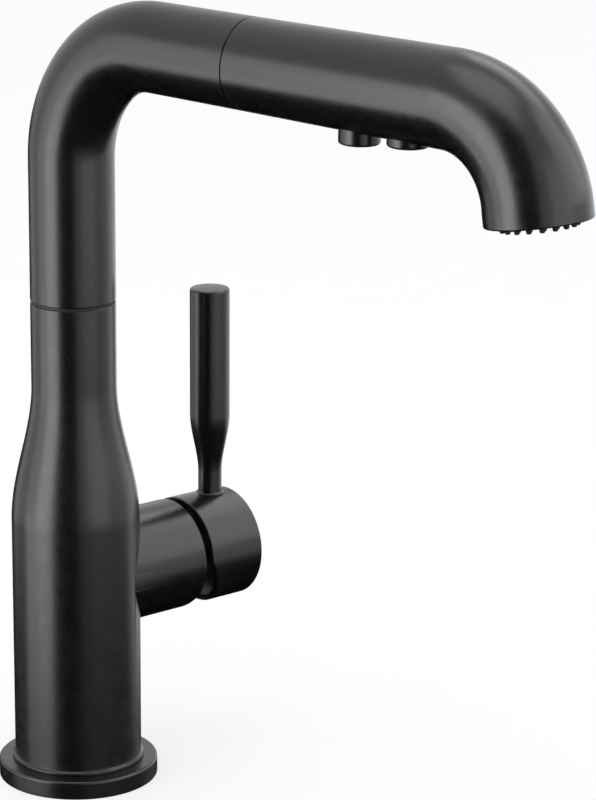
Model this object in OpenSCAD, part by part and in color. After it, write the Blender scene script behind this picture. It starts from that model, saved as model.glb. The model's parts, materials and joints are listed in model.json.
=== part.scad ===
// Single lever kitchen faucet with a swivel spout, a pull-out spray wand and a side valve.
// Millimetres. The origin is the middle of the base ring's underside, on the deck.
// +Z is up, +X points out of the valve boss, and -Y is straight ahead.

/* [Base] */
// Diameter of the base ring
ring_d = 58; // [56:0.5:62]
// Height of the base ring
ring_h = 6.8; // [6.3:0.1:7.4]
// Diameter of the threaded shank under the base
shank_d = 33; // [32.5:0.1:33.4]
// How far the shank reaches below the deck
shank_drop = 60; // [58:1:70]
// Thickness of the deck that the clamping parts are set to
deck_t = 28; // [12:1:30]

/* [Body] */
// Diameter of the lower body
body_d = 46.2; // [45.8:0.1:48]
// Diameter of the neck and of the spout's riser
neck_d = 30.5; // [30.2:0.1:31.2]
// Height where the shoulder starts
shoulder_lo = 98; // [97:0.5:102]
// Height where the shoulder ends
shoulder_hi = 147.3; // [140:0.1:150]
// Height of the seam between the body and the spout
seam_z = 178.5; // [174:0.5:184]

/* [Spout] */
// Turn of the spout at rest, from straight ahead towards the handle
spout_turn = 10; // [0:1:30]
// Height at which the arm's axis meets the riser's axis
arm_z = 274; // [270:0.5:285]
// Fall of the arm, in degrees
arm_fall = 1.1; // [0.5:0.1:2]
// Radius of the lower half of the bend
bend_r1 = 46; // [44:0.5:48]
// Radius of the upper half of the bend
bend_r2 = 37; // [36:0.5:39]
// Diameter of the tube where the bend ends
bend_exit_d = 31.2; // [31:0.1:31.4]
// Length of the straight arm, from the bend to the wand
arm_len = 42; // [40:0.5:48]

/* [Wand] */
// Diameter at the seam with the arm
wand_d = 31.6; // [31:0.1:32.4]
// Diameter where the wand starts to bend
grip_d = 32.8; // [32.4:0.1:33.4]
// Diameter at the spray end
head_d = 35.3; // [34.8:0.1:36.4]
// Length of the straight grip
grip_len = 83.5; // [81:0.5:88]
// Radius of the wand's bend
wand_bend_r = 35.4; // [34:0.1:38]
// Angle of the wand's bend
wand_bend_a = 80; // [78:1:82]
// Straight length after the bend
tail_len = 5; // [4.2:0.1:5]
// Wall of the wand's shell
wand_wall = 2.2; // [2:0.1:2.4]
// How far the wand slides out of the dock in this model
wand_travel = 50; // [30:1:50]

/* [Buttons] */
// Radius of a button
button_r = 7; // [6:0.1:7]
// Distance of the first button from the seam, along the wand
button_1_s = 46.8; // [46:0.1:48]
// Distance of the second button from the seam
button_2_s = 66.7; // [66.5:0.1:68]
// Depth of the first button's face under the wand's axis
button_1_depth = 20; // [19.8:0.1:20.4]
// Travel of a button when the other is pressed
button_travel = 2; // [1.6:0.1:2]

/* [Handle] */
// Height of the valve's axis
boss_z = 75.2; // [75:0.1:75.6]
// Diameter of the valve boss and of the handle's hub
boss_d = 40.5; // [40.3:0.1:41]
// Distance from the body's axis to the end of the boss
boss_end = 44.9; // [44.7:0.1:45.3]
// Gap between the boss and the hub, above their relief
hub_gap = 2.9; // [2.7:0.1:3.3]
// Distance from the body's axis to the end of the hub
hub_end = 70.9; // [69:0.1:73]
// Distance from the body's axis to the lever's axis
lever_x = 62.3; // [61:0.1:63]
// Diameter of the lever's grip
lever_d = 14.7; // [13:0.1:16]
// Diameter of the lever's stem
stem_d = 8.7; // [8:0.1:9.4]
// Height of the lever's top
lever_top = 173.7; // [160:0.1:190]

/* [Hidden] */
$fn = 96;

// ---- small clearances used all over ----
run = 0.08;        // radial clearance of a running fit
gap = 0.3;         // between faces of two moving bodies
cut = 1;           // how far a cutting solid stands past a face
seat = 0.05;       // between two fixed pieces that are screwed or pushed together

// ---- base and clamping parts ----
ring_r = ring_d/2;
ring_round = 1;
foot_r = 19.8;
foot_z = 0.8;
body_r = body_d/2;
body_floor = 12;
lip_r = body_r + 0.9;       // lip round the body's foot
lip_edge = 0.3;
lip_side = 0.7;
lip_top = 1.7;
shank_r = shank_d/2;
shank_bore = 14.3;
thread_chamfer = 1;
end_thread = 8;             // free length of thread below a narrow groove
groove = 0.6;
nut_h = 11;
nut_r = 24;
nut_flange = 5;
nut_hex_r = 20.5;
rubber_t = 2;
washer_t = 2.5;
screw_r = 2.5;
screw_at = 20.6;
screw_head_r = 3.6;
screw_head_h = 3;
screw_stand = 2;            // between the nut and a screw's head, and the nut and the washer
nut_top = -(deck_t + rubber_t + washer_t + screw_stand);
plate_hole_r = shank_r + 0.4;

// ---- inside of the body ----
body_wall = 2.5;
cavity_r = body_r - body_wall;
neck_r = neck_d/2;
socket_r = 12.6;
socket_lo = 131;
lip_z = seam_z - 0.5;       // top face of the body, under the seam ring
seam_ring_h = 0.65;
spout_lo = lip_z + seam_ring_h + gap;
shoulder_steps = 18;

// ---- valve ----
boss_r = boss_d/2;
boss_round = 1;
pocket_r = 18.4;
cup_r = 18.3;
cup_bore = 16.5;
cup_back = 7;
cup_floor = 14;
cup_end = 41;
port_r = 2.6;
inlet_y = 8.9;
inlet_x = 1.5;
inlet_port_up = 4;
outlet_x = 10.2;
outlet_r = 4;
outlet_socket = 10;
outlet_port_up = -8.7;
puck_lo = 32;
puck_hi = 58;
puck_r = 20.4;
socket_depth = 14;
inlet_socket_r = 5;
housing_r = 16.4;
housing_bore = 13.4;
housing_base = 16.4;
housing_end = 36;
fixed_disc_t = 3;
disc_r = 8;
disc_t = 4.4;
disc_x = housing_base + fixed_disc_t + 0.1;
pivot_x = 31;
rotator_x = disc_x + disc_t + gap;
rotator_end = 35.8;
stem_r = 4;
ball_r = 1.9;
ball_x = 22.1;
ball_neck_r = 1.3;
disc_floor = 0.5;
stem_end = 66;
pin_r = 1.5;
sleeve_end = 46.2;

// ---- handle ----
hub_x = boss_end + hub_gap;
hub_wall = 2.05;
hub_hollow = 8.2;
relief_a = 20;              // lean of the cut faces that let the hub tilt
hub_relief_z = 1;           // where they start, from the valve's axis
boss_relief_z = -10.8;
lever_r = lever_d/2;
lever_stem_r = stem_d/2;
taper_lo = 103.6;
taper_hi = 125.7;
taper_steps = 14;
lever_foot = boss_z + 9;
lever_edge = 0.9;

// ---- hose ----
hose_r = 5.5;
hose_bore = 3.9;
hose_x = -8.2;
hose_bend_r = 60;
hose_bend_a = acos(1 - abs(hose_x)/(2*hose_bend_r));
hose_bend_z = 88;
hose_end_z = -shank_drop - 15;
hose_sides = 24;
nipple_r = 4.76;
nipple_bore = 3;
nipple_flange = 5.4;
nipple_len = 12;
hose_steps = 8;

// ---- spout ----
tube_wall = 1.8;
bend_split = 45;
bend_steps = 8;
arm_r = wand_d/2;
bend_stop = 90 + arm_fall;
bend_1_u = bend_r1*(1 - cos(bend_split));
bend_1_v = bend_r1*sin(bend_split);
centre_2_u = bend_1_u + bend_r2*cos(bend_split);
centre_2_v = bend_1_v - bend_r2*sin(bend_split);
bend_end_u = centre_2_u - bend_r2*cos(bend_stop);
bend_end_v = centre_2_v + bend_r2*sin(bend_stop);
bend_z = arm_z - bend_end_v - bend_end_u*tan(arm_fall);
wand_u = bend_end_u + arm_len*cos(arm_fall);
wand_z = bend_z + bend_end_v - arm_len*sin(arm_fall);
mouth_gap = 0.3;
sleeve_r = socket_r - run;
sleeve_bore = 10.6;
sleeve_lo = 134;
sleeve_hi = 206;
glide_bore = socket_r - 1;
glide_lo = 147;
glide_hi = 170;
glide_h = 4;
seal_bore = socket_r - 1.6;
seal_z = 156;
seal_h = 3;
collar_r = neck_r - tube_wall - 0.1;
collar_back = 20;
magnet_bore = 12.4;
magnet_back = 17;
magnet_front = 9;
clip_z = 139;
clip_t = 1.4;

// ---- wand ----
grip_r = grip_d/2;
head_r = head_d/2;
spigot_r = 11.4;
collar_bore = spigot_r + 0.1;
hose_back = wand_travel + 15;
shell_sides = 40;
shell_bend_steps = 15;
shell_lip = 0.7;
diverter_r = 12.6;
waterway_r = 5.2;
manifold_back = 7;
waterway_bend_r = wand_bend_r - (manifold_back + 0.1)/tan(wand_bend_a/2);
waterway_start = grip_len + manifold_back + 0.1;
rocker_s = (button_1_s + button_2_s)/2;
rocker_arm = (button_2_s - button_1_s)/2;
rocker_y = -6;
rocker_tilt = asin(button_travel/2/rocker_arm);
button_h = 11;
face_r = head_r - wand_wall - 0.1;
nozzle_r = 0.95;
nozzle_out = 1.9;

// ================= frames =================
// Local +Z lies along the valve's axis, and local -X points up.
module on_boss(x = 0) {
    translate([x, 0, boss_z]) rotate([0, 90, 0]) children();
}

// Turns with the spout.
module on_spout() {
    rotate([0, 0, spout_turn]) children();
}

// Origin on the wand's seam, +Z out along the arm and +Y up.
module on_arm(s = 0) {
    on_spout() translate([0, -wand_u, wand_z]) rotate([90 + arm_fall, 0, 0])
        translate([0, 0, s]) children();
}

// Origin at the end of the wand's bend, +Z out of the spray end.
module on_head(t = 0) {
    on_arm(grip_len)
        translate([0, -wand_bend_r*(1 - cos(wand_bend_a)), wand_bend_r*sin(wand_bend_a)])
        rotate([wand_bend_a, 0, 0]) translate([0, 0, t]) children();
}

// ================= shared shapes =================
module pipe(r, bore, z0, z1) {
    difference() {
        translate([0, 0, z0]) cylinder(r = r, h = z1 - z0);
        translate([0, 0, z0 - cut]) cylinder(r = bore, h = z1 - z0 + 2*cut);
    }
}

module rod(r, z0, z1) {
    translate([0, 0, z0]) cylinder(r = r, h = z1 - z0);
}

// Swept pipes follow a path in the YZ plane. A station is [forward, up, heading, radius]:
// forward runs towards -Y, and a heading of 0 is straight up, 90 straight ahead.
function station_ring(station, sides) = [
    for (i = [0:sides - 1])
        let (a = 360*i/sides, side_up = station[3]*sin(a))
        [station[3]*cos(a),
         side_up*cos(station[2]) - station[0],
         side_up*sin(station[2]) + station[1]]
];

// Stations round an arc. start is where it begins: [forward, up, heading].
function arc_stations(start, centre_r, turn, steps, r0, r1) = [
    for (i = [1:steps])
        let (h = start[2] + turn*i/steps)
        [start[0] + centre_r*(cos(start[2]) - cos(h)),
         start[1] + centre_r*(sin(h) - sin(start[2])),
         h,
         r0 + (r1 - r0)*i/steps]
];

// The same stations with another radius.
function with_radius(stations, r) = [for (s = stations) [s[0], s[1], s[2], r]];

module swept_pipe(outer, inner, sides) {
    turned_back = [for (j = [len(inner) - 1:-1:0]) inner[j]];
    rings = [for (s = concat(outer, turned_back)) station_ring(s, sides)];
    m = len(rings);
    polyhedron(
        points = [for (ring = rings) each ring],
        faces = [
            for (j = [0:m - 1], i = [0:sides - 1])
                let (a = j*sides + i, b = j*sides + (i + 1)%sides,
                     c = ((j + 1)%m)*sides + (i + 1)%sides, d = ((j + 1)%m)*sides + i)
                each [[a, c, b], [a, d, c]]
        ]
    );
}

// A part turned about Z, from its half outline.
module turned(outline) {
    rotate_extrude() polygon(outline);
}

function ease(t) = t*t*(3 - 2*t);

// ================= base =================
module base_ring() {
    color("#2b2b2c") difference() {
        turned([
            [foot_r + seat, 0],
            [ring_r - 0.5, 0],
            [ring_r, 0.5],
            [ring_r, ring_h - ring_round],
            for (i = [1:5]) [ring_r - ring_round*(1 - cos(18*i)), ring_h - ring_round*(1 - sin(18*i))],
            [foot_r + seat, ring_h]
        ]);
        pipe(ring_r - 3, foot_r + 1.5, -cut, 1.5);
    }
}

module base_gasket() {
    color("#1c1c1d") pipe(ring_r - 3 - seat, foot_r + 1.5 + seat, 0, 1.45);
}

// Wedge that opens downwards from (x, z), and cuts towards side in X.
module relief(x, z, side) {
    reach = 2*boss_r;
    translate([x, 0, boss_z + z]) rotate([0, -side*relief_a, 0])
        translate([side > 0 ? -reach : 0, -boss_r - cut, -reach]) cube([reach, reach + 2*cut, reach]);
}

// Outline of the body from the foot to the neck, and its cavity's.
body_outline = [
    [0, foot_z],
    [foot_r, foot_z],
    [foot_r, ring_h],
    [lip_r - lip_edge, ring_h],
    [lip_r, ring_h + lip_edge],
    [lip_r, ring_h + lip_side],
    [body_r, ring_h + lip_top],
    for (i = [0:shoulder_steps])
        [body_r + (neck_r - body_r)*ease(i/shoulder_steps),
         shoulder_lo + (shoulder_hi - shoulder_lo)*i/shoulder_steps],
    [neck_r, lip_z - 0.3],
    [neck_r - 0.3, lip_z],
    [0, lip_z]
];
cavity_outline = [
    [0, body_floor],
    [cavity_r, body_floor],
    [cavity_r, shoulder_lo],
    for (i = [1:shoulder_steps - 4])
        [cavity_r + (socket_r - cavity_r)*ease(i/(shoulder_steps - 4)),
         shoulder_lo + (socket_lo - shoulder_lo)*i/(shoulder_steps - 4)],
    [socket_r, lip_z + cut],
    [0, lip_z + cut]
];

module body_shell() {
    color("#2b2b2c") difference() {
        union() {
            turned(body_outline);
            on_boss() turned([
                [0, 0],
                [boss_r, 0],
                [boss_r, boss_end - boss_round],
                for (a = [22.5:22.5:90])
                    [boss_r - boss_round*(1 - cos(a)), boss_end - boss_round*(1 - sin(a))],
                [0, boss_end]
            ]);
        }
        relief(boss_end, boss_relief_z, -1);
        turned(cavity_outline);
        on_boss() rod(pocket_r, 0, boss_end + cut);
        rod(shank_r + seat, -cut, body_floor + cut);
        pipe(socket_r + 1.1, 0.5, clip_z - 0.1, clip_z + clip_t + 0.1);
    }
}

module seam_ring() {
    color("#141414") pipe(neck_r - 0.7, socket_r + seat, lip_z, lip_z + seam_ring_h);
}

// Spring clip in the body's bore that keeps the spout from lifting.
module retaining_ring() {
    color("silver") difference() {
        pipe(socket_r + 1, socket_r - 0.6, clip_z, clip_z + clip_t);
        translate([0, -1.5, clip_z - cut]) cube([socket_r + 3, 3, clip_t + 2*cut]);
    }
}

module mounting_shank() {
    color("#b59a5b") difference() {
        turned([
            [0, -shank_drop],
            [shank_r - thread_chamfer, -shank_drop],
            [shank_r, -shank_drop + thread_chamfer],
            [shank_r, -shank_drop + thread_chamfer + end_thread],
            [shank_r - groove, -shank_drop + thread_chamfer + end_thread],
            [shank_r - groove, -shank_drop + 2*thread_chamfer + end_thread],
            [shank_r, -shank_drop + 2*thread_chamfer + end_thread],
            [shank_r, body_floor],
            [0, body_floor]
        ]);
        rod(shank_bore, -shank_drop - cut, body_floor + cut);
    }
}

module clamp_rubber() {
    color("#1c1c1d") pipe(nut_r, plate_hole_r, -deck_t - rubber_t, -deck_t);
}

module clamp_washer() {
    color("silver") pipe(nut_r, plate_hole_r, -deck_t - rubber_t - washer_t, -deck_t - rubber_t);
}

module mounting_nut() {
    color("#b59a5b") difference() {
        union() {
            rod(nut_r, nut_top - nut_flange, nut_top);
            translate([0, 0, nut_top - nut_h]) cylinder(r = nut_hex_r, h = nut_h - nut_flange/2, $fn = 6);
        }
        rod(shank_r + seat, nut_top - nut_h - cut, nut_top + cut);
        for (side = [-1, 1])
            translate([side*screw_at, 0, 0]) rod(screw_r + seat, nut_top - nut_h - cut, nut_top + cut);
    }
}

module nut_screw(side) {
    head_z = nut_top - nut_h - screw_stand;
    color("silver") translate([side*screw_at, 0, 0]) difference() {
        union() {
            rod(screw_r, head_z - screw_head_h/2, nut_top + screw_stand);
            translate([0, 0, head_z - screw_head_h]) cylinder(r = screw_head_r, h = screw_head_h, $fn = 6);
        }
        // slot for a screwdriver
        translate([-screw_head_r, -0.5, head_z - screw_head_h - cut]) cube([2*screw_head_r, 1, 1 + cut]);
    }
}
module nut_screw_1() { nut_screw(-1); }
module nut_screw_2() { nut_screw(1); }

// ================= valve, fixed pieces =================
module inlet_passage(side) {
    translate([inlet_x, side*inlet_y, 0]) rod(inlet_socket_r, puck_lo - cut, puck_lo + socket_depth);
    translate([inlet_x, side*inlet_y, 0]) rod(port_r, puck_lo, boss_z + inlet_port_up);
    on_boss() translate([-inlet_port_up, side*inlet_y, 0]) rod(port_r, inlet_x, cup_floor + cut);
}

module outlet_passage() {
    translate([outlet_x, 0, 0]) rod(outlet_r + seat, puck_lo - cut, puck_lo + outlet_socket);
    translate([outlet_x, 0, 0]) rod(port_r, puck_lo, boss_z + outlet_port_up);
    on_boss() translate([-outlet_port_up, 0, 0]) rod(port_r, outlet_x, cup_floor + cut);
}

module valve_body() {
    color("#b59a5b") difference() {
        union() {
            on_boss() rod(cup_r, cup_back, cup_end);
            rod(puck_r, puck_lo, puck_hi);
            translate([-2.2, -13, puck_hi - 1]) cube([cup_back + 3.2, 26, boss_z + 9 - puck_hi]);
        }
        on_boss() rod(cup_bore, cup_floor, cup_end + cut);
        for (side = [-1, 1]) inlet_passage(side);
        outlet_passage();
        translate([hose_x, 0, 0]) rod(hose_r + 0.5, puck_lo - cut, puck_hi + cut);
    }
}

module port_seal(y, up) {
    color("#1c1c1d") on_boss() translate([-up, y, 0]) pipe(4.4, 2.8, cup_floor, cup_floor + 1);
}
module seal_hot() { port_seal(inlet_y, inlet_port_up); }
module seal_cold() { port_seal(-inlet_y, inlet_port_up); }
module seal_outlet() { port_seal(0, outlet_port_up); }

module cartridge_ports(r, x0, x1) {
    for (side = [-1, 1]) translate([-inlet_port_up, side*inlet_y, 0]) rod(r, x0, x1);
    translate([-outlet_port_up, 0, 0]) rod(r, x0, x1);
}

module cartridge_housing() {
    color("#d9d9d6") on_boss() difference() {
        rod(housing_r, cup_floor + 0.1, housing_end);
        rod(housing_bore, housing_base, housing_end + cut);
        cartridge_ports(port_r, cup_floor - cut, housing_base + cut);
        cartridge_ports(4.4 + seat, cup_floor - cut, cup_floor + 1 + seat);
    }
}

module fixed_disc() {
    color("#f2efe6") on_boss() difference() {
        rod(housing_bore - seat, housing_base, housing_base + fixed_disc_t);
        cartridge_ports(port_r - 0.2, housing_base - cut, housing_base + fixed_disc_t + cut);
    }
}

module limit_ring() {
    color("#b8452f") on_boss() union() {
        pipe(housing_r - 0.2, 11.4, housing_end, housing_end + 1);
        for (side = [-1, 1]) rotate([0, 0, 90*side + 180]) translate([11, -1.2, housing_end]) cube([3.4, 2.4, 1]);
    }
}

module bonnet_nut() {
    color("#b59a5b") on_boss() difference() {
        union() {
            rod(cup_bore - seat, housing_end + 1.1, cup_end);
            translate([0, 0, cup_end]) cylinder(r = 15.2, h = 4.5, $fn = 12);
        }
        rod(10.8, housing_end, cup_end + 4.5 + cut);
    }
}

module bonnet_sleeve() {
    color("#141414") on_boss() pipe(pocket_r - 0.6, 15.4, cup_end + 0.1, sleeve_end);
}

module outlet_tube() {
    color("#b3704a") translate([outlet_x, 0, 0]) pipe(outlet_r, outlet_r - 0.8, hose_end_z + 8, puck_lo + outlet_socket - 0.1);
}

// Plug-in end for the hose that leads back up to the spout.
module nipple(x) {
    translate([x, 0, hose_end_z]) turned([
        [nipple_bore, -nipple_len - 2],
        [nipple_r - 0.7, -nipple_len - 2],
        [nipple_r, -nipple_len - 1],
        [nipple_r, -1],
        [nipple_flange, -1],
        [nipple_flange, 1],
        [nipple_bore, 1]
    ]);
}

module outlet_nipple() {
    color("silver") union() {
        nipple(outlet_x);
        translate([outlet_x, 0, 0]) pipe(outlet_r + 1, outlet_r + seat, hose_end_z + 7, hose_end_z + 14);
        translate([outlet_x, 0, 0]) pipe(outlet_r + 1, nipple_bore, hose_end_z + 0.5, hose_end_z + 7.9);
    }
}

module hose_nipple() {
    color("silver") union() {
        nipple(hose_x);
        translate([hose_x, 0, 0]) pipe(nipple_flange, nipple_bore, hose_end_z, hose_end_z + 2);
    }
}

// ================= spray hose =================
module hose_bore_pipe(z0, z1) {
    pipe(hose_r, hose_bore, z0, z1);
}

// Up through the shank beside the valve, then across to the middle of the body.
module hose_lower() {
    set_start = [0, hose_bend_z, 0];
    set_first = arc_stations(set_start, hose_bend_r, hose_bend_a, hose_steps, hose_r, hose_r);
    set_middle = set_first[hose_steps - 1];
    stations = concat(
        [[0, hose_end_z + 2, 0, hose_r], [0, hose_bend_z, 0, hose_r]],
        set_first,
        arc_stations(set_middle, -hose_bend_r, -hose_bend_a, hose_steps, hose_r, hose_r),
        [[-hose_x, seam_z - 2, 0, hose_r]]
    );
    color("#3a3a3c") translate([hose_x, 0, 0]) rotate([0, 0, 90])
        swept_pipe(stations, with_radius(stations, hose_bore), hose_sides);
}

// ================= spout =================
// Stations of the spout's bend, as two arcs.
function bend_stations(r0, r1, stop) =
    let (middle = r0 + (r1 - r0)/2)
    concat(
        arc_stations([0, bend_z, 0], bend_r1, bend_split, bend_steps, r0, middle),
        arc_stations([bend_1_u, bend_z + bend_1_v, bend_split], bend_r2, stop - bend_split,
            bend_steps, middle, r1)
    );

// A station on the straight arm, back from the wand's seam.
function arm_station(back, r) =
    [wand_u - back*cos(arm_fall), wand_z + back*sin(arm_fall), bend_stop, r];

module spout_tube() {
    bore = neck_r - tube_wall;
    outer = concat(
        [[0, spout_lo, 0, neck_r - 0.3], [0, spout_lo + 0.3, 0, neck_r], [0, bend_z, 0, neck_r]],
        bend_stations(neck_r, bend_exit_d/2, bend_stop),
        [arm_station(mouth_gap + 0.25, arm_r), arm_station(mouth_gap, arm_r - 0.25)]
    );
    inner = concat(
        [[0, spout_lo, 0, bore], [0, bend_z, 0, bore]],
        bend_stations(bore, bore, bend_stop),
        [arm_station(mouth_gap, bore)]
    );
    color("#2b2b2c") on_spout() swept_pipe(outer, inner, shell_sides);
}

module swivel_sleeve() {
    color("#b59a5b") on_spout() difference() {
        union() {
            rod(sleeve_r, sleeve_lo, lip_z + seam_ring_h + gap);
            rod(collar_r, lip_z + seam_ring_h + gap, sleeve_hi);
        }
        rod(sleeve_bore, sleeve_lo - cut, sleeve_hi + cut);
        pipe(socket_r + cut, glide_bore, clip_z - gap, clip_z + clip_t + gap);
        for (z = [glide_lo, glide_hi]) pipe(socket_r + cut, glide_bore, z - seat, z + glide_h + seat);
        pipe(socket_r + cut, seal_bore, seal_z - seat, seal_z + seal_h + seat);
    }
}

module glide_ring(z) {
    color("white") on_spout() pipe(socket_r - run/2, glide_bore + seat, z, z + glide_h);
}
module glide_ring_lower() { glide_ring(glide_lo); }
module glide_ring_upper() { glide_ring(glide_hi); }

module sleeve_seal() {
    color("#1c1c1d") on_spout() pipe(socket_r - run/2, seal_bore + seat, seal_z, seal_z + seal_h);
}

module docking_collar() {
    color("#141414") on_arm() difference() {
        turned([
            [collar_bore, -collar_back],
            [collar_r, -collar_back],
            [collar_r, -0.6],
            [collar_bore + 0.8, -0.6],
            [collar_bore, -1.4]
        ]);
        pipe(neck_r, magnet_bore, -magnet_back, -magnet_front);
    }
}

module dock_magnet() {
    color("silver") on_arm() pipe(collar_r - seat, magnet_bore + seat, -magnet_back + seat, -magnet_front - seat);
}

module hose_upper() {
    stations = concat(
        [[0, seam_z, 0, hose_r], [0, bend_z, 0, hose_r]],
        arc_stations([0, bend_z, 0], bend_r1, bend_split - 5, hose_steps, hose_r, hose_r)
    );
    color("#3a3a3c") on_spout() swept_pipe(stations, with_radius(stations, hose_bore), hose_sides);
}

// ================= wand =================
// Radius of the wand's outside: part runs from 0 at the start of the bend to 1 at its end.
function bend_radius(part) = grip_r + (head_r - grip_r)*(0.35*part + 0.65*part*part);

// Stations of one wall of the wand, from the seam to the end of the bend.
function shell_stations(thin) = concat(
    [[0, mouth_gap/2, 0, arm_r - thin], [0, grip_len, 0, grip_r - thin]],
    [
        for (i = [1:shell_bend_steps])
            let (part = i/shell_bend_steps, h = wand_bend_a*part)
            [wand_bend_r*(1 - cos(h)), grip_len + wand_bend_r*sin(h), h, bend_radius(part) - thin]
    ]
);

// A station on the straight tail, past the bend.
function tail_station(along, r) = [
    wand_bend_r*(1 - cos(wand_bend_a)) + along*sin(wand_bend_a),
    grip_len + wand_bend_r*sin(wand_bend_a) + along*cos(wand_bend_a),
    wand_bend_a, r
];

module wand_shell() {
    outer = concat(shell_stations(0), [
        tail_station(tail_len - shell_lip, head_r),
        tail_station(tail_len - 0.3*shell_lip, head_r - 0.3*shell_lip),
        tail_station(tail_len, head_r - shell_lip)
    ]);
    inner = concat(shell_stations(wand_wall), [tail_station(tail_len, head_r - wand_wall)]);
    color("#2b2b2c") difference() {
        on_arm() swept_pipe(outer, inner, shell_sides);
        for (s = [button_1_s, button_2_s])
            on_arm(s) rotate([90, 0, 0]) rod(button_r + gap, 8, grip_r + 4);
    }
}

module dock_spigot() {
    color("#141414") on_arm() turned([
        [7.6, -18],
        [spigot_r - 0.8, -18],
        [spigot_r, -17],
        [spigot_r, 0.5],
        [arm_r - wand_wall - 0.15, 0.5],
        [arm_r - wand_wall - 0.15, 6],
        [7.6, 6]
    ]);
}

module hose_connector() {
    color("silver") on_arm() union() {
        pipe(7.5, 3.9, -16, 1);
        translate([0, 0, 1]) difference() {
            cylinder(r = 7.4, h = 4, $fn = 6);
            translate([0, 0, -cut]) cylinder(r = 3.9, h = 4 + 2*cut);
        }
    }
}

module hose_front() {
    color("#3a3a3c") on_arm() hose_bore_pipe(-hose_back, -16);
}

module check_valve() {
    color("#3d6fb0") on_arm() difference() {
        union() {
            rod(3.8, -14, -3);
            pipe(3.8, 2.6, -3, 1);
        }
        for (i = [0:2]) rotate([0, 0, 120*i]) translate([2, 0, 0]) rod(0.9, -14 - cut, -2);
    }
}

module wand_inlet_tube() {
    color("#d9d9d6") on_arm() union() {
        pipe(6.4, 3.4, 5.1, 8);
        pipe(4.8, 3.4, 7, 33);
    }
}

// Carries the water to the spray end and holds the rocker under its flat.
module diverter_housing() {
    color("#d9d9d6") on_arm() difference() {
        union() {
            intersection() {
                rod(diverter_r, 33, 80);
                translate([-diverter_r, -2.6, 33]) cube([2*diverter_r, 2*diverter_r, 47]);
            }
            rod(6.4, 33, 36);
            for (side = [-1, 1])
                translate([side*6.5 - 1, rocker_y - 2.5, rocker_s - 2.2]) cube([2, 6.5, 4.4]);
        }
        rod(3.4, 33 - cut, 40);
        translate([0, 4.2, 0]) rod(3.2, 38, 76);
        translate([0, 2, 74]) rod(3.4, 0, 6 + cut);
        translate([0, 0, 38]) rotate([-90, 0, 0]) rod(2.6, 0, 4.5);
        translate([0, rocker_y, rocker_s]) rotate([0, 90, 0]) rod(1 + seat, -9, 9);
    }
}

module rocker_pin() {
    color("silver") on_arm(rocker_s) translate([0, rocker_y, 0]) rotate([0, 90, 0]) rod(1, -7.4, 7.4);
}

module toggle_rocker() {
    color("#b8b8b4") on_arm(rocker_s) translate([0, rocker_y, 0]) rotate([-rocker_tilt, 0, 0]) difference() {
        union() {
            translate([-4, -0.6, -11.4]) cube([8, 1.8, 22.8]);
            rotate([0, 90, 0]) rod(2.1, -5.2, 5.2);
        }
        rotate([0, 90, 0]) rod(1 + run, -6, 6);
    }
}

// Local +Z points down, out of the wand.
module button(s, depth) {
    color("#2b2b2c") on_arm(s) rotate([90, 0, 0]) turned([
        [0, depth - button_h],
        [button_r - 1.5, depth - button_h],
        [button_r, depth - button_h + 1.5],
        [button_r, depth - 0.6],
        [button_r - 0.6, depth],
        [0, depth]
    ]);
}
module spray_button() { button(button_1_s, button_1_depth); }
module stream_button() { button(button_2_s, button_1_depth - button_travel); }

module spray_waterway() {
    stations = concat(
        [[0, 80.1, 0, waterway_r], [0, waterway_start, 0, waterway_r]],
        arc_stations([0, waterway_start, 0], waterway_bend_r, wand_bend_a, hose_steps, waterway_r, waterway_r)
    );
    color("#d9d9d6") on_arm() swept_pipe(stations, with_radius(stations, 3.6), hose_sides);
}

// ================= spray end =================
module head_manifold() {
    color("#d9d9d6") on_head() difference() {
        turned([
            [0, -manifold_back],
            [7, -manifold_back],
            [13.6, -4],
            [face_r - 0.6, -2],
            [face_r - 0.6, 0],
            [0, 0]
        ]);
        rod(3.6, -manifold_back - cut, cut);
        pipe(11.8, 4.9, -2, cut);
    }
}

// Nozzles stand on two rings.
module each_nozzle() {
    for (i = [0:17]) rotate([0, 0, 20*i]) translate([12, 0, 0]) children();
    for (i = [0:11]) rotate([0, 0, 30*i + 15]) translate([8.6, 0, 0]) children();
}

module spray_plate() {
    color("#1f1f20") on_head() difference() {
        turned([
            [5.6, 1.7],
            [face_r - 0.6, 1.7],
            [face_r, 1.7],
            [face_r, tail_len - 1],
            [face_r - 0.8, tail_len - 0.4],
            [5.6, tail_len - 0.4]
        ]);
        each_nozzle() rod(nozzle_r + 0.15, 0, tail_len + cut);
    }
}

module nozzle_mat() {
    color("#101010") on_head() union() {
        pipe(face_r - 0.2, 5.6, 0.1, 1.6);
        each_nozzle() rod(nozzle_r, 1, tail_len + nozzle_out - 0.5);
        each_nozzle() translate([0, 0, tail_len + nozzle_out - 0.5]) cylinder(r1 = nozzle_r, r2 = 0.6, h = 0.5, $fn = 24);
    }
}

module aerator() {
    color("silver") on_head() difference() {
        rod(5.5, 0.1, tail_len - 0.2);
        rod(4.6, 2.4, tail_len + cut);
        rod(3, -cut, 3);
    }
}

module aerator_screen() {
    color("#9a9a98") on_head() difference() {
        rod(4.55, 2.5, 3.3);
        for (x = [-3:1:3], y = [-3:1:3])
            if (x*x + y*y < 14) translate([x - 0.35, y - 0.35, 2]) cube([0.7, 0.7, 2]);
    }
}

// ================= moving pieces of the valve =================
module rotator() {
    color("#d9d9d6") on_boss() difference() {
        rod(housing_bore - run, rotator_x, rotator_end);
        // slot for the stem, longer where it swings more
        translate([-10, -stem_r - gap, rotator_x - cut]) cube([20, 2*(stem_r + gap), rotator_end - rotator_x + 2*cut]);
        translate([0, 0, pivot_x]) rotate([90, 0, 0]) rod(pin_r + 0.02, -housing_bore - cut, housing_bore + cut);
    }
}

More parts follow.
